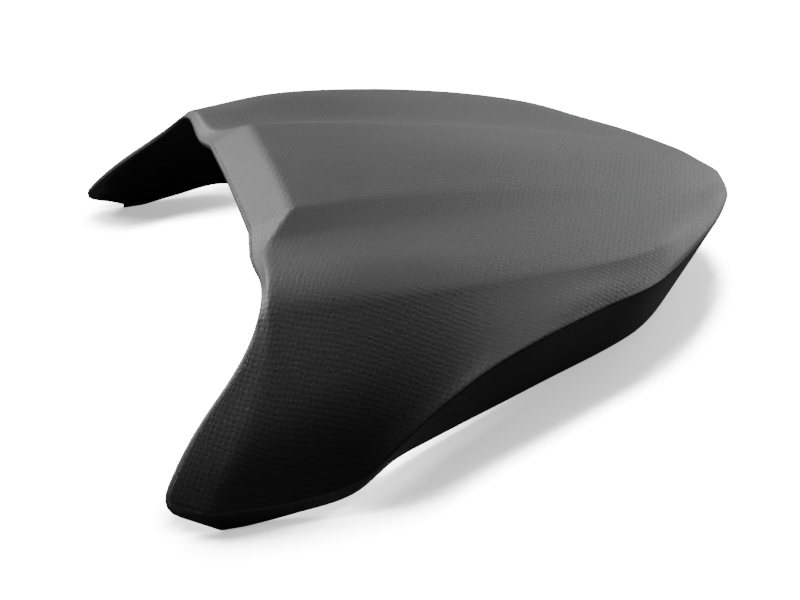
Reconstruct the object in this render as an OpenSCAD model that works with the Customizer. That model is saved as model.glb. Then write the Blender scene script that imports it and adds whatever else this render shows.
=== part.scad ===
// Cover for the pillion seat of a motorcycle: one thin moulded shell, open below
// and at the front. +X is to the side, -Y points to the rider's seat, +Z is up.
// The shell stands on its two front feet and on the lower edge of the tail.

/* [Overall size] */
// Width over the two legs
cowl_width = 322; // [290:1:350]
// Length from the foot tips to the tail
cowl_length = 339; // [310:1:370]
// Height of the deck above the ground
cowl_height = 94; // [84:1:104]
// Thickness of the moulded wall
wall = 3; // [2.4:0.1:3.6]

/* [Raised deck] */
// Width between the two ridges at the front of the deck
deck_front_width = 100; // [90:1:108]
// Width between the two ridges near the tail
deck_rear_width = 64; // [52:1:74]
// Drop from the ridge to the valley beside it, at the front
step_drop = 9; // [6:0.5:11]
// Length of the sloping face in front of the deck
bevel_length = 21; // [17:0.5:25]
// Crown of the deck between its ridges
deck_crown = 1.2; // [0.5:0.1:2.5]

/* [Legs and skirt] */
// Half width at the shoulder, where the flank starts to fall
shoulder_half = 109; // [106:0.5:113]
// Height of the lower crease where it is highest, over the middle of the skirt
crease_height = 61; // [56:0.5:64]
// Distance that the skirt runs in under the crease at the side
skirt_undercut = 40; // [32:0.5:46]
// Width of the turned-in lip along the lower edge
edge_lip = 4.5; // [4.2:0.1:6.5]
// Thickness of that lip
lip_thick = 2.5; // [2:0.1:3]

/* [Screw bosses] */
// Distance between the left and right bosses
boss_pitch_x = 50; // [40:1:56]
// Distance between the front and rear bosses
boss_pitch_y = 84; // [70:1:95]
// Distance from the foot tips to the front bosses
boss_front = 121; // [118:1:130]
// Outer diameter of a boss
boss_od = 10; // [9:0.5:11]
// Diameter of the pilot hole in a boss
pilot_d = 3.6; // [3:0.1:4.2]
// Depth of the pilot hole
pilot_depth = 12; // [8:1:13]
// Height of the lower face of the bosses
boss_face_z = 62; // [58:0.5:63]

/* [Smoothness] */
// Number of cross sections between the front and the tail
sections = 32; // [24:1:38]

/* [Hidden] */

// The shape is drawn on a body of this size and then stretched to the size above.
drawn_body = [322.3, 338.8, 93.7];
drawn_mid = [0, 148.6, 0];
stretch = [cowl_width / drawn_body.x, cowl_length / drawn_body.y, cowl_height / drawn_body.z];

// Named sizes on the drawn body.
deck_f = deck_front_width / 2 / stretch.x;
deck_r = deck_rear_width / 2 / stretch.x;
deck_front = [0, 41.5 + bevel_length / stretch.y, 93];
valley_z = deck_front.z - step_drop / stretch.z;
crown = deck_crown / stretch.z;
shoulder_x = shoulder_half / stretch.x;
crease_z = crease_height / stretch.z;
undercut = skirt_undercut / stretch.x;
shell_tip = [0, 318, 49];
skirt_tail = [0, 287, 0];

// Front edge of the moulding, from the middle out along the leg and round the foot.
edge_front = [[0, 40.5, 83.6], [deck_f - 1, 39.6, 83.4], [68, 35.9, 79], [100.5, 36.3, 80.8],
    [121, 23, 62], [137.5, -7, 36.5], [153, -24.5, 13], [158.5, 0, 0]];

// Character lines from the front bevel to the tail, each row [run, x, y, z].
tip_row = concat([1], shell_tip);
centre = [[0, 0, deck_front.y, deck_front.z + crown], [0.25, 0, 110, 89.5 + 1.5 * crown],
    [0.5, 0, 175, 82 + 2 * crown], [0.75, 0, 240, 70.6 + 2 * crown], [0.9, 0, 285, 64],
    [0.97, 0, 308.5, 57], [0.99, 0, 315.5, 53.5], tip_row];
ridge = [[0, deck_f, deck_front.y - 0.5, deck_front.z], [0.25, 0.7 * deck_f + 0.3 * deck_r, 110, 89.5],
    [0.5, 0.3 * deck_f + 0.7 * deck_r, 175, 81.5], [0.75, deck_r, 240, 70],
    [0.9, 0.68 * deck_r, 283, 62], [0.97, 0.3 * deck_r, 308, 56.5],
    [0.99, 0.14 * deck_r, 315, 53], tip_row];
valley = [[0, 67.5, 43.5, valley_z], [0.25, 65, 100, valley_z], [0.5, 58, 170, 78],
    [0.75, 48, 238, 68], [0.9, 34, 280, 61], [0.97, 16, 306.5, 56], [0.99, 7.5, 314.5, 52.7], tip_row];
shoulder = [[0, shoulder_x - 9, 39, 85.5], [0.25, shoulder_x, 94, 86],
    [0.5, shoulder_x - 1, 163.5, 77.5], [0.75, shoulder_x - 18, 234, 68.5], [0.9, 54, 274.5, 61.5],
    [0.97, 24, 304.5, 56], [0.99, 12, 314.3, 52.5], tip_row];
flank = [[0, 126, 33.5, 61], [0.25, 129, 91.5, 67], [0.5, 120, 161, 70], [0.75, 97.5, 232, 64],
    [0.9, 60.5, 277, 60], [0.97, 27.5, 304.3, 55.5], [0.99, 14, 314.1, 52], tip_row];
haunch = [[0, 148, 14, 34], [0.25, 146, 88.5, 48], [0.5, 132.5, 159.5, 66.5], [0.75, 103, 231, 61],
    [0.9, 63.5, 278, 58.5], [0.97, 29.5, 304, 54.5], [0.99, 15, 313.8, 51.5], tip_row];
crease = [[0, 159.6, -2.5, 10.5], [0.08, 160.2, 34, 9], [0.17, 160, 62.5, 13.5],
    [0.24, 158.2, 82.5, 27.5], [0.3, 155, 99, 39], [0.39, 150.5, 125, crease_z - 7.5],
    [0.5, 142, 157, crease_z], [0.62, 127, 190, crease_z - 0.7], [0.75, 107.5, 229, crease_z - 3.5],
    [0.9, 63, 280, 56], [0.97, 30, 303.5, 53.5], [0.99, 16, 313.5, 51.5], tip_row];
foot_edge = [[0, 159, 12, 0], [0.08, 160.4, 33, 3], [0.17, 159.8, 60, 7], [0.24, 145, 83, 9.3],
    [0.3, 134, 102, 7.6], [0.5, 142 - undercut, 167.5, 4], [0.75, 106 - undercut, 238.5, 0],
    [0.9, 78 - undercut, 271, 0], [0.97, 20, 283, 0], [0.99, 10, 286, 0], concat([1], skirt_tail)];
lines = [centre, ridge, valley, shoulder, flank, haunch, crease, foot_edge];

// A smooth value along a table of rows, whose slope at a row comes from its neighbours.
function last(v) = len(v) - 1;
function tail_of(r) = [for (i = [1:last(r)]) r[i]];
function slope_at(tab, k) =
    let (a = tab[max(k - 1, 0)], b = tab[min(k + 1, last(tab))])
    (tail_of(b) - tail_of(a)) / (b[0] - a[0]);
function row_of(tab, t, i = 0) = (i >= last(tab) - 1 || t < tab[i + 1][0]) ? i : row_of(tab, t, i + 1);
function along(tab, t) =
    let (i = row_of(tab, t), h = tab[i + 1][0] - tab[i][0], u = (t - tab[i][0]) / h)
    (2 * u ^ 3 - 3 * u ^ 2 + 1) * tail_of(tab[i]) + (u ^ 3 - 2 * u ^ 2 + u) * h * slope_at(tab, i)
    + (3 * u ^ 2 - 2 * u ^ 3) * tail_of(tab[i + 1]) + (u ^ 3 - u ^ 2) * h * slope_at(tab, i + 1);

function unit(v) = v / norm(v);
function sized(p) = [for (i = [0:2]) (max(p[i], i == 2 ? 0 : p[i]) - drawn_mid[i]) * stretch[i]];

// Corner points of the cross section at one place between the bevel (0) and the tail (1).
function corners(t) = [for (l = lines) sized(along(l, t))];

// Share of its neighbours that each corner is rounded over; the lower crease stays crisp
// except where it ends as the toe of the foot.
toe_share = 0.3;
function rounding(t, toe) =
    [0.5, 0.12 + 0.33 * t, 0.3 + 0.15 * t, 0.42 + 0.06 * t, 0.5, 0.5, 0.06 + toe + 0.04 * t];
steps = [2, 3, 3, 3, 3, 2, 2];
function mirror_x(p) = [-p.x, p.y, p.z];
function before(p, k) = k == 0 ? mirror_x(p[1]) : p[k - 1];
function curve(p, share) = concat(
    [for (k = [0:last(p) - 1])
        let (a = p[k] + (before(p, k) - p[k]) * share[k], c = p[k] + (p[k + 1] - p[k]) * share[k])
        for (s = [(k == 0 ? 1 : 0):steps[k]])
            let (u = s / steps[k])
            (1 - u) ^ 2 * a + 2 * u * (1 - u) * p[k] + u ^ 2 * c],
    [p[last(p)]]);

// Outward directions at the corners of a section: the skin's own, and at the lower crease the
// mean of skin and skirt, longer because two walls meet there.
crease_reach = 1.25;
function facing(p, ahead, k) =
    k == 6
        ? let (skin = unit(cross(p[6] - p[5], ahead[6] - p[6])),
               skirt = unit(cross(p[7] - p[6], ahead[6] - p[6])))
          crease_reach * unit(skin + skirt)
        : unit(cross(p[k + 1] - before(p, k), ahead[k] - p[k]));
function plan_out(a, b) = unit([b.y - a.y, a.x - b.x, 0]);

// Inner corners: the skin moved in by the wall, and the skirt's foot above the lip. Directions
// along the shell are taken over a short run.
short_run = 0.02;
function inner_corners(p, ahead) = concat(
    [for (k = [0:6]) p[k] - wall * facing(p, ahead, k)],
    [p[7] - wall * plan_out(p[7], ahead[7]) + [0, 0, lip_thick]]);
inner_runs = [0, 0.08, 0.17, 0.24, 0.3, 0.39, 0.5, 0.62, 0.75, 0.84, 0.91, 0.96];
inner_tip = sized(shell_tip) - [0, 1.5 * wall, 0.4 * wall];
inner_tail = sized(skirt_tail) - [0, wall, -lip_thick];
inner_sets = [for (t = inner_runs) inner_corners(corners(t), corners(t + short_run))];
inner_lines = [for (k = [0:7]) concat(
    [for (i = [0:last(inner_runs)]) concat([inner_runs[i]], inner_sets[i][k])],
    [concat([1], k < 7 ? inner_tip : inner_tail)])];

// One ring of the shell: outer skin, turned-in lip, inner skin, and back on the other side.
function reversed(v) = [for (i = [last(v):-1:0]) v[i]];
function mirrored(v) = [for (p = v) mirror_x(p)];
function ring(p, q, out, t, toe = 0) =
    let (skin = curve(p, rounding(t, toe)), inside = curve(q, rounding(t, toe)),
         lip = p[7] - edge_lip * out, under = [lip, lip + [0, 0, lip_thick]])
    concat(mirrored(reversed(tail_of(skin))), skin, under, reversed(inside),
        mirrored(tail_of(inside)), mirrored(reversed(under)));

// Rings of the front edge and the bevel, then of the skin up to the tail.
edge_corners = [for (p = edge_front) sized(p)];
first_corners = corners(0);
first_inner = inner_sets[0];
function bevel_facing(k) = unit(cross(
    edge_corners[k + 1] - before(edge_corners, k), first_corners[k] - edge_corners[k]));
edge_inner = concat([for (k = [0:6]) edge_corners[k] - wall * bevel_facing(k)],
    [edge_corners[7] + [-wall, 0, lip_thick]]);
foot_out = plan_out(first_corners[7], corners(short_run)[7]);
front_ring = ring(edge_corners, edge_inner, foot_out, 0, toe_share);
first_ring = ring(first_corners, first_inner, foot_out, 0);
function run_at(i) = 1 - (1 - i / sections) ^ 1.5;
function skin_ring(t) =
    let (ahead = corners(min(t + short_run / 2, 1)), back = corners(t - short_run / 2))
    ring(corners(t), [for (l = inner_lines) along(l, t)], plan_out(back[7], ahead[7]), t);
rings = concat([for (s = [0, 0.45, 0.85]) front_ring + (first_ring - front_ring) * s],
    [for (i = [0:sections - 1]) skin_ring(run_at(max(i, 0.25)))]);

// Places in a ring, from the left foot edge over the top to the right one, round the lip
// and back inside. At the tail both sides share one point each for tip, skirt and lip.
ring_count = len(front_ring);
half_count = (ring_count - 2) / 4;
mid = half_count - 1;
right_foot = 2 * mid;
mid_inner = 3 * half_count;
tail_points = [sized(shell_tip), sized(skirt_tail), sized(skirt_tail) - [0, edge_lip, 0],
    sized(skirt_tail) - [0, edge_lip, -lip_thick], inner_tail, inner_tip];
function tail_id(c) =
    c <= right_foot ? (abs(c - mid) == mid ? 1 : 0)
    : c == right_foot + 1 || c == ring_count - 1 ? 2
    : c == right_foot + 2 || c == ring_count - 2 ? 3
    : abs(c - mid_inner) == mid ? 4 : 5;
function id(j, c) = let (w = c % ring_count)
    j < len(rings) ? j * ring_count + w : len(rings) * ring_count + tail_id(w);
function two(a, b, c, d) = [for (f = [[a, b, c], [a, c, d]])
    if (f[0] != f[1] && f[1] != f[2] && f[0] != f[2]) f];
skin_faces = [for (j = [0:len(rings) - 1]) for (c = [0:ring_count - 1])
    each two(id(j, c), id(j + 1, c), id(j + 1, c + 1), id(j, c + 1))];
function behind(c) = ring_count - 3 - c;
rim_faces = [for (c = [0:right_foot - 1]) each two(c, c + 1, behind(c + 1), behind(c))];
foot_faces = concat(two(0, behind(0), behind(0) + 1, behind(0) + 2),
    two(right_foot, right_foot + 1, right_foot + 2, right_foot + 3));

module moulding() {
    polyhedron(concat([for (r = rings) each r], tail_points),
        concat(skin_faces, rim_faces, foot_faces));
}

// Screw bosses under the deck, each let into the wall and drilled from below.
boss_sink = 0.75 * wall;
boss_y = boss_front - cowl_length / 2;
boss_places = [for (x = [-boss_pitch_x / 2, boss_pitch_x / 2]) for (y = [boss_y, boss_y + boss_pitch_y])
    [x, y, boss_face_z]];
function run_to(y, a = 0, b = 1, n = 18) =
    let (m = (a + b) / 2)
    n == 0 ? m : sized(along(centre, m)).y < y ? run_to(y, m, b, n - 1) : run_to(y, a, m, n - 1);
function deck_z(place) =
    let (p = corners(run_to(place.y)))
    p[0].z + (p[1].z - p[0].z) * abs(place.x) / p[1].x;

module bosses() {
    for (place = boss_places)
        translate(place)
            cylinder(h = deck_z(place) - boss_sink - place.z, d = boss_od, $fn = 48);
}

module pilot_holes() {
    for (place = boss_places)
        translate(place - [0, 0, 1])
            cylinder(h = pilot_depth + 1, d = pilot_d, $fn = 32);
}

module cowl_shell() {
    color([0.07, 0.07, 0.075])
        difference() {
            union() {
                moulding();
                bosses();
            }
            pilot_holes();
        }
}

cowl_shell();
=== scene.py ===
import math

import bpy
import numpy as np
from mathutils import Matrix, Vector


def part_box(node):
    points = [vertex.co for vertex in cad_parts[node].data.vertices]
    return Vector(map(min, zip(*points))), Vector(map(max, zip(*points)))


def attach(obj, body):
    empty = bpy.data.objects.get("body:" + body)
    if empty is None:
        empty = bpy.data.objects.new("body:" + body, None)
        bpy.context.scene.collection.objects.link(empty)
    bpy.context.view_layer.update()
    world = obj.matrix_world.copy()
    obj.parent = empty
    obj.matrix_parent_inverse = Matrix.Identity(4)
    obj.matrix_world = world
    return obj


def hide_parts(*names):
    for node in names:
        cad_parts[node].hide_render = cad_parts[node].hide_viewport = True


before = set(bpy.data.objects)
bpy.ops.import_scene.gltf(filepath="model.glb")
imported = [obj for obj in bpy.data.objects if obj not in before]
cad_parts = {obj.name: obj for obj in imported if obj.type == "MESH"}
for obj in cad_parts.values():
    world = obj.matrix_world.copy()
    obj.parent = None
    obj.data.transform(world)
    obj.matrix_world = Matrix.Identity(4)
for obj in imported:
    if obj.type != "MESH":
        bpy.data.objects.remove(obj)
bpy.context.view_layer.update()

# Cowl shell: one thin injection moulding in charcoal plastic, 3 mm thick, with its grain
# etched into the mould. The skin, the undercut skirt, the turned-in lip and the four screw
# bosses are one piece. The lines below are those it is drawn from, in millimetres.
low, high = (np.array(corner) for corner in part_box("cowl_shell"))
# The drawing's own box and its middle, which are fitted to the part's box in the frame.
drawn_box = np.array([322.3, 338.8, 93.73])
drawn_mid = np.array([0, 148.6, 0])
to_frame = (high - low) / drawn_box
wall = 0.003

# The front edge's corners, from the middle of the deck down to the foot: x, y and z.
edge_front = [[0, 40.5, 83.6], [49, 39.6, 83.4], [68, 35.9, 79], [100.5, 36.3, 80.8],
              [121, 23, 62], [137.5, -7, 36.5], [153, -24.5, 13], [158.5, 0, 0]]
# Behind them the skin follows eight lines to the tail: share of the run, x, y and z.
shell_tip = [1, 0, 316.6, 50.2]
lines = [
    # centre of the deck
    [[0, 0, 62.5, 94.2], [0.25, 0, 110, 91.3], [0.5, 0, 175, 84.4], [0.75, 0, 240, 73],
     [0.9, 0, 285, 64], [0.97, 0, 308.5, 57], [0.99, 0, 315.5, 53.5], shell_tip],
    # ridge of the deck
    [[0, 50, 62, 93], [0.25, 44.6, 110, 89.5], [0.5, 37.4, 175, 81.5], [0.75, 32, 240, 70],
     [0.9, 21.76, 283, 62], [0.97, 9.6, 308, 56.5], [0.99, 4.48, 315, 53], shell_tip],
    # valley beside the deck
    [[0, 67.5, 43.5, 84], [0.25, 65, 100, 84], [0.5, 58, 170, 78], [0.75, 48, 238, 68],
     [0.9, 34, 280, 61], [0.97, 16, 306.5, 56], [0.99, 7.5, 314.5, 52.7], shell_tip],
    # shoulder
    [[0, 100, 39, 85.5], [0.25, 109, 94, 86], [0.5, 108, 163.5, 77.5], [0.75, 91, 234, 68.5],
     [0.9, 54, 274.5, 61.5], [0.97, 25, 305, 56], [0.99, 12.5, 313.2, 52.7], shell_tip],
    # flank
    [[0, 126, 33.5, 61], [0.25, 129, 91.5, 67], [0.5, 120, 161, 71], [0.75, 97.5, 232, 64.5],
     [0.9, 60.5, 277, 60], [0.97, 29, 305, 55.3], [0.99, 14.5, 313, 52.3], shell_tip],
    # haunch
    [[0, 148, 14, 34], [0.25, 146, 88.5, 48], [0.5, 132.5, 159.5, 66.5], [0.75, 103, 231, 61],
     [0.9, 63.5, 278, 58.5], [0.97, 31.5, 305, 54.2], [0.99, 15.5, 312.7, 51.9], shell_tip],
    # lower crease
    [[0, 159.6, -2.5, 10.5], [0.08, 160.2, 34, 9], [0.17, 160, 62.5, 13.5], [0.24, 158.2, 82.5, 27.5],
     [0.3, 155, 99, 39], [0.39, 150.5, 125, 53.5], [0.5, 142, 157, 61], [0.62, 127, 190, 60.3],
     [0.75, 107.5, 229, 57.5], [0.9, 63, 280, 56], [0.97, 32, 304.8, 53.2], [0.99, 16.5, 312.5, 51.7],
     shell_tip],
    # foot of the skirt
    [[0, 159, 12, 0], [0.08, 160.4, 33, 3], [0.17, 159.8, 60, 7], [0.24, 145, 83, 9.3],
     [0.3, 134, 102, 7.6], [0.5, 102, 167.5, 4], [0.75, 66, 238.5, 0], [0.9, 38, 271, 0],
     [0.97, 20, 283, 0], [0.99, 10, 286, 0], [1, 0, 287, 0]],
]
at_ridge, at_crease, at_foot = 1, 6, 7


def to_row(points):
    points = np.array(points, float)
    points[..., 2] = np.maximum(points[..., 2], 0)
    return (points - drawn_mid) * to_frame


def along(rows, run):
    rows = np.array(rows, float)
    at, value = rows[:, 0], rows[:, 1:]
    slope = np.empty_like(value)
    slope[1:-1] = (value[2:] - value[:-2]) / (at[2:] - at[:-2])[:, None]
    slope[0] = (value[1] - value[0]) / (at[1] - at[0])
    slope[-1] = (value[-1] - value[-2]) / (at[-1] - at[-2])
    i = np.clip(np.searchsorted(at, run, side="right") - 1, 0, len(at) - 2)
    h = (at[i + 1] - at[i])[:, None]
    u = (np.asarray(run) - at[i])[:, None] / h
    return ((2 * u**3 - 3 * u**2 + 1) * value[i] + (u**3 - 2 * u**2 + u) * h * slope[i]
            + (3 * u**2 - 2 * u**3) * value[i + 1] + (u**3 - u**2) * h * slope[i + 1])


def corners(run):
    return to_row(np.stack([along(line, run) for line in lines], 1))


def unit(v):
    return v / np.linalg.norm(v, axis=-1, keepdims=True)


def mirrored(p):
    return p * [-1, 1, 1]


# Each cross section is rounded at its corners, from the middle of the deck to the foot. A
# corner takes a share of the edges beside it: so much in front, and more towards the tail.
share_in_front = [0.5, 0.05, 0.3, 0.42, 0.5, 0.5, 0.06]
more_at_tail = [0, 0.4, 0.15, 0.06, 0, 0, 0.04]
ridge_softens = 1.5
corner_steps = [5, 6, 6, 8, 8, 8, 5]
gap_steps = [10, 3, 4, 2, 1, 3, 4]


def rounded(p, run, toe=0.0):
    run = np.asarray(run, float)[:, None]
    shares = []
    for k, (in_front, more) in enumerate(zip(share_in_front, more_at_tail)):
        bend = ridge_softens if k == at_ridge else 1
        shares.append(in_front + (toe if k == at_crease else 0) + more * run**bend)
    out = []
    for k, share in enumerate(shares):
        before = mirrored(p[:, 1]) if k == 0 else p[:, k - 1]
        a = p[:, k] + (before - p[:, k]) * share
        c = p[:, k] + (p[:, k + 1] - p[:, k]) * share
        start = 0.5 if k == 0 else 0
        for u in np.linspace(start, 1, corner_steps[k] + 1):
            out.append((1 - u) ** 2 * a + 2 * u * (1 - u) * p[:, k] + u**2 * c)
        share_ahead = shares[k + 1] if k < at_crease else 0
        ahead = p[:, k + 1] + (p[:, k] - p[:, k + 1]) * share_ahead
        for u in np.arange(1, gap_steps[k]) / gap_steps[k]:
            out.append(c + (ahead - c) * u)
    out.append(p[:, at_foot])
    return np.stack(out, 1)


# The step beside the deck is slightly hollow: steepest under the ridge, running out flat. The
# hollow is deepest at a third of the step, where its curve times hollow_peak is 1.
step_hollow, step_fade, hollow_peak = 0.0008, 0.8, 6.75
step_from = corner_steps[0] + gap_steps[0] + corner_steps[1]
step_to = step_from + gap_steps[1] + corner_steps[2]


def hollowed(section, run):
    u = np.linspace(0, 1, step_to - step_from + 1)
    depth = step_hollow * np.clip(1 - np.asarray(run, float) / step_fade, 0, 1)
    dip = hollow_peak * u * (1 - u) ** 2
    section[:, step_from:step_to + 1, 2] -= depth[:, None] * dip
    return section


# Inner corners: the skin moved in by the wall, and the foot above the turned-in lip. The
# lower crease is a sharp corner and moves in further, and the tail's tip too.
lip_thick = 0.0025
lip_width = 0.0045
crease_push, tip_push, tip_drop = 1.25, 1.5, 0.4
look_ahead = 0.02


def facings(p, ahead):
    found = []
    for k in range(at_foot):
        before = mirrored(p[:, 1]) if k == 0 else p[:, k - 1]
        onward = ahead[:, k] - p[:, k]
        if k == at_crease:
            skin = unit(np.cross(p[:, k] - before, onward))
            skirt = unit(np.cross(p[:, k + 1] - p[:, k], onward))
            found.append(crease_push * unit(skin + skirt))
        else:
            found.append(unit(np.cross(p[:, k + 1] - before, onward)))
    return np.stack(found, 1)


def plan_out(a, b):
    return unit(np.stack([b[..., 1] - a[..., 1], a[..., 0] - b[..., 0], 0 * a[..., 0]], -1))


inner_runs = np.array([0, 0.08, 0.17, 0.24, 0.3, 0.39, 0.5, 0.62, 0.75, 0.84, 0.91, 0.96])
outer_at, ahead_at = corners(inner_runs), corners(inner_runs + look_ahead)
skirt_out = plan_out(outer_at[:, at_foot], ahead_at[:, at_foot])
inner_at = np.concatenate([
    outer_at[:, :at_foot] - wall * facings(outer_at, ahead_at),
    (outer_at[:, at_foot] - wall * skirt_out + [0, 0, lip_thick])[:, None]], 1)
inner_tip = to_row(shell_tip[1:]) - [0, tip_push * wall, tip_drop * wall]
inner_tail = to_row(lines[at_foot][-1][1:]) - [0, wall, -lip_thick]
inner_lines = [
    [[r, *row] for r, row in zip(inner_runs, inner_at[:, k])]
    + [[1, *(inner_tip if k < at_foot else inner_tail)]] for k in range(len(lines))]


def inner_corners(run):
    return np.stack([along(line, run) for line in inner_lines], 1)


# Sections from the front edge to the tail, closer together at the tail. The sloping face in
# front of the deck runs softly into the skin behind it.
toe_round = 0.30
face_blend, skin_blend = 0.17, 0.016
face_start, face_count, blend_count = 0.3, 9, 8
skin_count, skin_crowding = 150, 1.5
zero = np.zeros(1)
edge_corner = to_row(edge_front)[None]
first_outer, first_inner = corners(zero), inner_corners(zero)
edge_before = np.concatenate([mirrored(edge_corner[:, 1:2]), edge_corner[:, :at_crease]], 1)
edge_out = unit(np.cross(edge_corner[:, 1:] - edge_before, (first_outer - edge_corner)[:, :at_foot]))
edge_inner = np.concatenate([
    edge_corner[:, :at_foot] - wall * edge_out, edge_corner[:, at_foot:] + [-wall, 0, lip_thick]], 1)
skin_steps = 1 - (1 - np.linspace(0, 1, skin_count)) ** skin_crowding
skin_runs = skin_blend + (1 - skin_blend) * skin_steps

outer_front = rounded(edge_corner, zero, toe_round)[0]
outer_first = hollowed(rounded(first_outer, zero), zero)[0]
outer_skin = hollowed(rounded(corners(skin_runs), skin_runs), skin_runs)
face_steps = np.concatenate([[0], np.linspace(face_start, 1 - face_blend, face_count)])
blend_steps = np.arange(1, blend_count) / blend_count
face = [outer_front + (outer_first - outer_front) * s for s in face_steps]
blend = [(1 - u) ** 2 * face[-1] + 2 * u * (1 - u) * outer_first + u**2 * outer_skin[0]
         for u in blend_steps]
outer = np.concatenate([np.array(face), np.array(blend), outer_skin])

inner_front = rounded(edge_inner, zero, toe_round)[0]
inner_first = rounded(first_inner, zero)[0]
inner_skin = rounded(inner_corners(skin_runs), skin_runs)
inner_steps = np.concatenate([face_steps, 1 - face_blend + face_blend * blend_steps])
inner_face = [inner_front + (inner_first - inner_front) * s for s in inner_steps]
inner = np.concatenate([np.array(inner_face), inner_skin])

# Where each point of the skin lies on the flat, for the grain: how far out from the middle,
# measured over the surface, and how far back. The grain ends at the lower crease.
out_flat = np.zeros(outer.shape[:2])
for c in range(1, outer.shape[1]):
    beside, here = outer[:, c - 1], outer[:, c]
    level = [np.interp(here[:, 1], beside[:, 1], v)
             for v in (beside[:, 0], beside[:, 2], out_flat[:, c - 1])]
    out_flat[:, c] = level[2] + np.hypot(here[:, 0] - level[0], here[:, 2] - level[1])
crease_column = (sum(corner_steps[:at_crease]) + sum(gap_steps[:at_crease])
                 + corner_steps[at_crease] // 2 + 1)
grained = np.arange(outer.shape[1]) < crease_column

# The lower edge: the skirt is rounded into the lip, which turns in over the hollow.
foot_round, foot_count, tiny = 0.0009, 5, 1e-9
step_on, step_back = 0.001, 0.01
foot = outer[:, -1]
face_rings = len(inner_steps)
foot_ahead = np.concatenate([np.repeat(corners(zero + look_ahead)[:, at_foot], face_rings, 0),
                             corners(np.minimum(skin_runs + step_on, 1))[:, at_foot]])
foot_behind = np.concatenate([np.repeat(first_outer[:, at_foot], face_rings, 0),
                              corners(skin_runs - step_back)[:, at_foot]])
foot_out = plan_out(foot_behind, foot_ahead)
lip_edge = foot - lip_width * foot_out
up_skirt = outer[:, -2] - foot
up_skirt /= np.maximum(np.linalg.norm(up_skirt, axis=1, keepdims=True), tiny)
foot_start = foot + up_skirt * foot_round
foot_end = foot - foot_out * foot_round
turn = [(1 - u) ** 2 * foot_start + 2 * u * (1 - u) * foot + u**2 * foot_end
        for u in np.linspace(0, 1, foot_count)]
lip_under = [foot_end + (lip_edge - foot_end) * u for u in (0.5, 0.93, 1)]
lip_over = [lip_edge + [0, 0, lip_thick * u] for u in (0.2, 0.8, 1)]
half = np.concatenate([
    outer[:, :-1], np.stack(turn + lip_under + lip_over, 1), inner[:, ::-1]], 1)

# The front edge from the outside to the inside: rolled over, flat for the rest of the wall.
# Near the foot the roll is kept within the wall and the face.
edge_roll, roll_count, most_of_wall, most_of_face = 0.0026, 7, 0.7, 0.9
n_out = outer.shape[1] - 1 + len(turn)
top = half[0, :n_out]
below = np.concatenate([inner[0], np.repeat(inner[0][-1:], n_out - inner.shape[1], 0)])
into = unit(half[1, :n_out] - top)
face_reach = np.linalg.norm(half[1, :n_out] - top, axis=1, keepdims=True)
down = unit(below - top)
depth = np.linalg.norm(below - top, axis=1, keepdims=True)
roll = np.minimum(edge_roll, most_of_wall * depth)
face_roll = np.minimum(edge_roll, most_of_face * face_reach)
rim = [(1 - u) ** 2 * (top + into * face_roll) + 2 * u * (1 - u) * top + u**2 * (top + down * roll)
       for u in np.linspace(0, 1, roll_count)]
rim += [top + down * roll + (below - top - down * roll) * u for u in (0.5, 1)]
rim = np.array(rim)

# All of it as one closed skin: rings of the half section and its mirror image, with points
# that lie on each other made one.
weld = 1e-6
grid = np.concatenate([half, mirrored(half[:, ::-1])], 1)
flat = np.zeros(grid.shape)
flat[:, :, 1] = grid[:, :, 1]
flat[:, :outer.shape[1], 0] = out_flat
flat[:, :outer.shape[1], 2] = grained
flat[:, -outer.shape[1]:, 0] = -out_flat[:, ::-1]
flat[:, -outer.shape[1]:, 2] = grained[::-1]
grid[0, :n_out] = rim[0]
grid[0, -n_out:] = mirrored(rim[0][::-1])
rim_grid = np.concatenate([mirrored(rim[:, ::-1]), rim], 1)
rim_flat = np.zeros(rim_grid.shape)
rim_flat[:, :, 2] = 1


def patch(points, closed):
    rings, around = points.shape[:2]
    faces = []
    for j in range(rings - 1):
        for c in range(around if closed else around - 1):
            d = (c + 1) % around
            faces.append((j * around + c, j * around + d, (j + 1) * around + d, (j + 1) * around + c))
    return points.reshape(-1, 3), faces


skin_points, skin_faces = patch(grid, True)
rim_points, rim_faces = patch(rim_grid, False)
points = np.concatenate([skin_points, rim_points])
flat_points = np.concatenate([flat.reshape(-1, 3), rim_flat.reshape(-1, 3)])
faces = [f[::-1] for f in skin_faces] + [
    tuple(i + len(skin_points) for i in f) for f in rim_faces]
points = np.clip(points, low, high)
_, first_at, where = np.unique(
    np.round(points / weld).astype(np.int64), axis=0, return_index=True, return_inverse=True)
where = where.reshape(-1)
clean = []
for f in faces:
    g = []
    for i in f:
        if where[i] not in g:
            g.append(int(where[i]))
    if len(g) > 2:
        clean.append(g)

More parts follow.
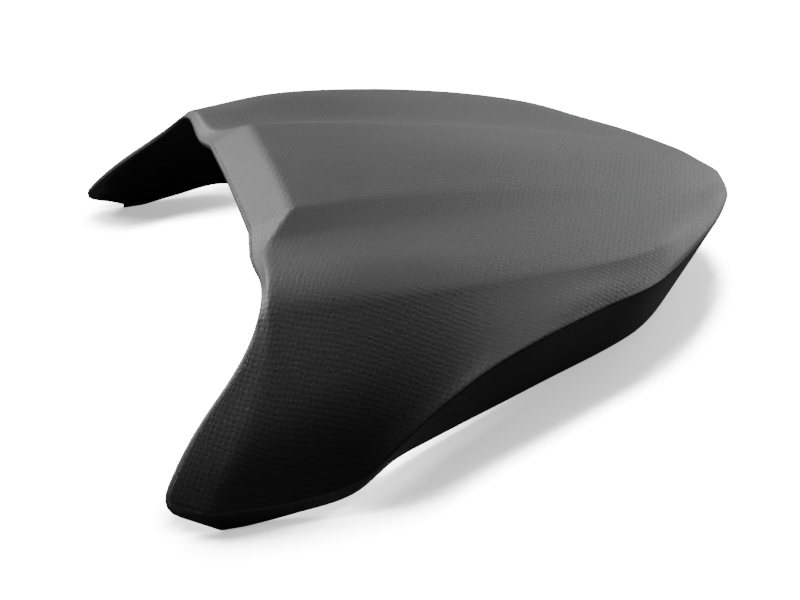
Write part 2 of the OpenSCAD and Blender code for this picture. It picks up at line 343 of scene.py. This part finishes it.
# Screw bosses: four plain posts, moulded in one with the deck above them. Each has a pilot
# hole from below for a self-tapping screw, and a small chamfer at the face and at the hole.
boss_r, pilot_r, pilot_depth, boss_chamfer = 0.005, 0.0018, 0.012, 0.0004
boss_face = 0.062
boss_x, boss_setback, boss_pitch = 0.025, 0.121, 0.084
boss_sides, boss_root = 48, 0.0006
boss_front = low[1] + boss_setback
vertices = [points[i] for i in first_at]
flats = [flat_points[i] for i in first_at]
deck_under = inner[:, 0]
for x in (-boss_x, boss_x):
    for y in (boss_front, boss_front + boss_pitch):
        top = np.interp(y, deck_under[:, 1], deck_under[:, 2]) + boss_root
        profile = [(boss_r, top), (boss_r, boss_face + boss_chamfer), (boss_r - boss_chamfer, boss_face),
                   (pilot_r + boss_chamfer, boss_face), (pilot_r, boss_face + boss_chamfer),
                   (pilot_r, boss_face + pilot_depth), (0.0, boss_face + pilot_depth)]
        start = len(vertices)
        for r, z in profile:
            for i in range(boss_sides):
                turn_at = 2 * math.pi * i / boss_sides
                vertices.append(np.array([x + r * math.cos(turn_at), y + r * math.sin(turn_at), z]))
                flats.append(np.zeros(3))
        for ring in range(len(profile) - 1):
            for i in range(boss_sides):
                a, b = start + ring * boss_sides + i, start + ring * boss_sides + (i + 1) % boss_sides
                clean.append([b, a, a + boss_sides, b + boss_sides])

mesh = bpy.data.meshes.new("cowl_moulding")
mesh.from_pydata([tuple(v) for v in vertices], [], clean)
grain_at = mesh.attributes.new("grain_at", "FLOAT_VECTOR", "POINT")
grain_at.data.foreach_set("vector", np.array(flats, np.float32).reshape(-1))
mesh.update()
for polygon in mesh.polygons:
    polygon.use_smooth = True
cowl = bpy.data.objects.new("cowl_moulding", mesh)
bpy.context.collection.objects.link(cowl)

# Charcoal plastic. The mould is etched with the grain of a plain weave, whose threads lie
# 1.8 mm apart and are turned a little from straight across. Skirt, lip and inside are smooth.
# The threads wander a little, and the relief comes and goes in patches.
thread_pitch, thread_turn, thread_height = 0.00177, math.radians(17), 0.00010
thread_wander, crossing_share, thread_share, speck_share = 0.0030, 0.4, 0.25, 0.12
smooth_tone, grained_tone = (0.065, 0.065, 0.066, 1), (0.018, 0.018, 0.0185, 1)
tone_swing, smooth_matt, grained_more, matt_swing = 0.35, 0.44, 0.06, 0.08
patch_swing, patch_least = 2.8, -0.55
wander_scale, cloud_scale, speck_scale, patch_scale = 260.0, 38.0, 900.0, 330.0


# Adds a node and fills its sockets, which are named or, as in _0, numbered.
def wired(tree, kind, operation=None, **sockets):
    made = tree.nodes.new(kind)
    if operation:
        made.operation = operation
    for name, value in sockets.items():
        key = int(name[1:]) if name[1:].isdigit() else name.replace("_", " ")
        socket = made.inputs[key]
        if isinstance(value, bpy.types.NodeSocket):
            tree.links.new(value, socket)
        else:
            socket.default_value = value
    return made


weave = bpy.data.node_groups.new("woven_grain", "ShaderNodeTree")
weave.interface.new_socket("At", in_out="INPUT", socket_type="NodeSocketVector")
weave.interface.new_socket("Height", in_out="OUTPUT", socket_type="NodeSocketFloat")
weave_in, weave_out = weave.nodes.new("NodeGroupInput"), weave.nodes.new("NodeGroupOutput")
per_pitch = math.pi / thread_pitch
waves = []
for angle in (thread_turn, thread_turn + math.pi / 2):
    way = (per_pitch * math.cos(angle), per_pitch * math.sin(angle), 0)
    across = wired(weave, "ShaderNodeVectorMath", "DOT_PRODUCT", _0=weave_in.outputs["At"], _1=way)
    waves.append(wired(weave, "ShaderNodeMath", "SINE", _0=across.outputs["Value"]).outputs[0])
threads = []
for one, other, lift in ((waves[0], waves[1], 0.5), (waves[1], waves[0], -0.5)):
    over = wired(weave, "ShaderNodeMath", "SIGN", _0=one).outputs[0]
    over = wired(weave, "ShaderNodeMath", "MULTIPLY", _0=over, _1=other).outputs[0]
    over = wired(weave, "ShaderNodeMath", "MULTIPLY_ADD", _0=over, _1=lift, _2=0.5).outputs[0]
    round_thread = wired(weave, "ShaderNodeMath", "ABSOLUTE", _0=one).outputs[0]
    threads.append(wired(weave, "ShaderNodeMath", "MULTIPLY", _0=round_thread, _1=over).outputs[0])
highest = wired(weave, "ShaderNodeMath", "MAXIMUM", _0=threads[0], _1=threads[1])
crossing = wired(weave, "ShaderNodeMath", "MULTIPLY", _0=waves[0], _1=waves[1])
soft = wired(weave, "ShaderNodeMath", "MULTIPLY", _0=highest.outputs[0], _1=thread_share)
height = wired(weave, "ShaderNodeMath", "MULTIPLY_ADD",
               _0=crossing.outputs[0], _1=crossing_share, _2=soft.outputs[0])
weave.links.new(height.outputs[0], weave_out.inputs["Height"])

charcoal = bpy.data.materials.new("charcoal_plastic")
charcoal.use_nodes = True
tree = charcoal.node_tree
shader = tree.nodes["Principled BSDF"]
lies_at = tree.nodes.new("ShaderNodeAttribute")
lies_at.attribute_name = "grain_at"
grain = tree.nodes.new("ShaderNodeGroup")
grain.node_tree = weave
flat_at = lies_at.outputs["Vector"]
wander = wired(tree, "ShaderNodeTexNoise", Vector=flat_at, Scale=wander_scale, Detail=2.0)
wander = wired(tree, "ShaderNodeVectorMath", "SUBTRACT",
               _0=wander.outputs["Color"], _1=(0.5, 0.5, 0.5))
wander = wired(tree, "ShaderNodeVectorMath", "SCALE",
               _0=wander.outputs["Vector"], Scale=thread_wander)
wander = wired(tree, "ShaderNodeVectorMath", "ADD", _0=flat_at, _1=wander.outputs["Vector"])
tree.links.new(wander.outputs["Vector"], grain.inputs["At"])
grained_here = wired(tree, "ShaderNodeSeparateXYZ", _0=flat_at).outputs["Z"]
place = tree.nodes.new("ShaderNodeTexCoord").outputs["Object"]
cloudy = wired(tree, "ShaderNodeTexNoise", Vector=place, Scale=cloud_scale, Detail=3.0, Roughness=0.6)
specks = wired(tree, "ShaderNodeTexNoise", Vector=place, Scale=speck_scale, Detail=2.0, Roughness=0.7)
tone = tree.nodes.new("ShaderNodeMix")
tone.data_type = "RGBA"
tone.inputs[6].default_value = smooth_tone
tone.inputs[7].default_value = grained_tone
tree.links.new(grained_here, tone.inputs[0])
uneven = wired(tree, "ShaderNodeMath", "MULTIPLY_ADD",
               _0=cloudy.outputs["Fac"], _1=tone_swing, _2=1 - tone_swing / 2)
varied = wired(tree, "ShaderNodeVectorMath", "SCALE", _0=tone.outputs[2], Scale=uneven.outputs[0])
tree.links.new(varied.outputs["Vector"], shader.inputs["Base Color"])
matt = wired(tree, "ShaderNodeMath", "MULTIPLY_ADD",
             _0=grained_here, _1=grained_more, _2=smooth_matt)
matt = wired(tree, "ShaderNodeMath", "MULTIPLY_ADD",
             _0=cloudy.outputs["Fac"], _1=matt_swing, _2=matt.outputs[0])
tree.links.new(matt.outputs[0], shader.inputs["Roughness"])
patchy = wired(tree, "ShaderNodeTexNoise", Vector=place, Scale=patch_scale, Detail=1.0)
patchy = wired(tree, "ShaderNodeMath", "MULTIPLY_ADD",
               _0=patchy.outputs["Fac"], _1=patch_swing, _2=patch_least)
relief = wired(tree, "ShaderNodeMath", "MULTIPLY", _0=grain.outputs["Height"], _1=patchy.outputs[0])
relief = wired(tree, "ShaderNodeMath", "MULTIPLY", _0=relief.outputs[0], _1=grained_here)
relief = wired(tree, "ShaderNodeMath", "MULTIPLY_ADD",
               _0=specks.outputs["Fac"], _1=speck_share, _2=relief.outputs[0])
bump = wired(tree, "ShaderNodeBump", Height=relief.outputs[0], Distance=thread_height)
tree.links.new(bump.outputs["Normal"], shader.inputs["Normal"])
mesh.materials.append(charcoal)
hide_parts("cowl_shell")
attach(cowl, "root")

# Floor: a wide sheet of white paper under the cowl, with a painted shadow close to it, where its glow is
# dimmed. It is white to the eye alone and throws little light back, as the underside stays nearly black
# in the photo.
floor_half, floor_z = 12, -0.0005
shadow_reach, shade_full, shade_none = 0.036, 0.74, 0.985
glow_in_shade, glow_in_open = 0.6, 18.0
paper_white, paper_dull = (0.9, 0.9, 0.9, 1), (0.045, 0.045, 0.045, 1)
floor_mesh = bpy.data.meshes.new("studio_floor")
floor_mesh.from_pydata([(-floor_half, -floor_half, floor_z), (floor_half, -floor_half, floor_z),
                        (floor_half, floor_half, floor_z), (-floor_half, floor_half, floor_z)],
                       [], [(0, 1, 2, 3)])
floor = bpy.data.objects.new("studio_floor", floor_mesh)
bpy.context.collection.objects.link(floor)
paper = bpy.data.materials.new("white_paper")
paper.use_nodes = True
tree = paper.node_tree
# Painted shadow: ambient occlusion dims the floor's glow where the cowl is near, instead of a shadow
# cast by the lamps.
near_cowl = wired(tree, "ShaderNodeAmbientOcclusion", Distance=shadow_reach)
painted_shadow_glow = wired(tree, "ShaderNodeMapRange", Value=near_cowl.outputs["AO"],
             From_Min=shade_full, From_Max=shade_none, To_Min=glow_in_shade, To_Max=glow_in_open)
painted_shadow_glow.interpolation_type = "SMOOTHSTEP"
painted_floor_glow = wired(tree, "ShaderNodeEmission", Strength=painted_shadow_glow.outputs["Result"])
white = wired(tree, "ShaderNodeBsdfDiffuse", Color=paper_white)
seen = wired(tree, "ShaderNodeAddShader", _0=painted_floor_glow.outputs["Emission"], _1=white.outputs["BSDF"])
dull = wired(tree, "ShaderNodeBsdfDiffuse", Color=paper_dull)
path = tree.nodes.new("ShaderNodeLightPath")
either = wired(tree, "ShaderNodeMixShader", _0=path.outputs["Is Camera Ray"],
               _1=dull.outputs["BSDF"], _2=seen.outputs["Shader"])
tree.links.new(either.outputs["Shader"], tree.nodes["Material Output"].inputs["Surface"])
floor_mesh.materials.append(paper)

# Light: soft boxes round the tail, the far side and the front, so that the top catches the
# light at a flat angle and the near flank falls into the dark. They are given by their
# direction and height in degrees and their power in watts.
soft_box_side, soft_box_reach = 0.6, 1.3
light_aim = Vector((0, 0, 0.05))
world_strength = 0.004


def soft_box(name, azimuth, elevation, power):
    azimuth, elevation = math.radians(azimuth), math.radians(elevation)
    level = math.cos(elevation)
    away = Vector((level * math.cos(azimuth), level * math.sin(azimuth), math.sin(elevation)))
    data = bpy.data.lights.new(name, "AREA")
    data.shape = "SQUARE"
    data.size = soft_box_side
    data.energy = power
    box = bpy.data.objects.new(name, data)
    box.location = light_aim + away * soft_box_reach
    box.rotation_euler = away.to_track_quat("Z", "Y").to_euler()
    bpy.context.collection.objects.link(box)


soft_box("light_tail", 90, 15, 7.9)
soft_box("light_tail_far", 120, 15, 5.3)
soft_box("light_far_tail", 150, 15, 1.9)
soft_box("light_far", 180, 15, 0.8)
soft_box("light_far_front", 210, 15, 2.1)
soft_box("light_high_tail", 120, 40, 3.6)
soft_box("light_high_far", 210, 40, 9.5)
soft_box("light_high_front", 240, 40, 34)
soft_box("light_top", 60, 65, 5.5)
soft_box("light_top_far", 120, 65, 0.5)
world = bpy.data.worlds.new("studio")
world.use_nodes = True
background = world.node_tree.nodes["Background"]
background.inputs["Color"].default_value = (1, 1, 1, 1)
background.inputs["Strength"].default_value = world_strength
bpy.context.scene.world = world

# Camera: looks at the cowl from its side and a little from the front, from 31 degrees above,
# and is turned by a sixth of a degree about its own line of sight.
eye = Vector((0.62314, -0.20984, 0.40045))
back = Vector((0.81510, -0.25046, 0.52239)).normalized()
camera_turn = 0.00278
camera_data = bpy.data.cameras.new("camera")
camera_data.sensor_width = 36
camera_data.lens = 63
camera = bpy.data.objects.new("camera", camera_data)
bpy.context.collection.objects.link(camera)
turned = back.to_track_quat("Z", "Y").to_matrix().to_4x4()
camera.matrix_world = Matrix.Translation(eye) @ turned @ Matrix.Rotation(camera_turn, 4, "Z")
bpy.context.scene.camera = camera

bpy.context.view_layer.update()
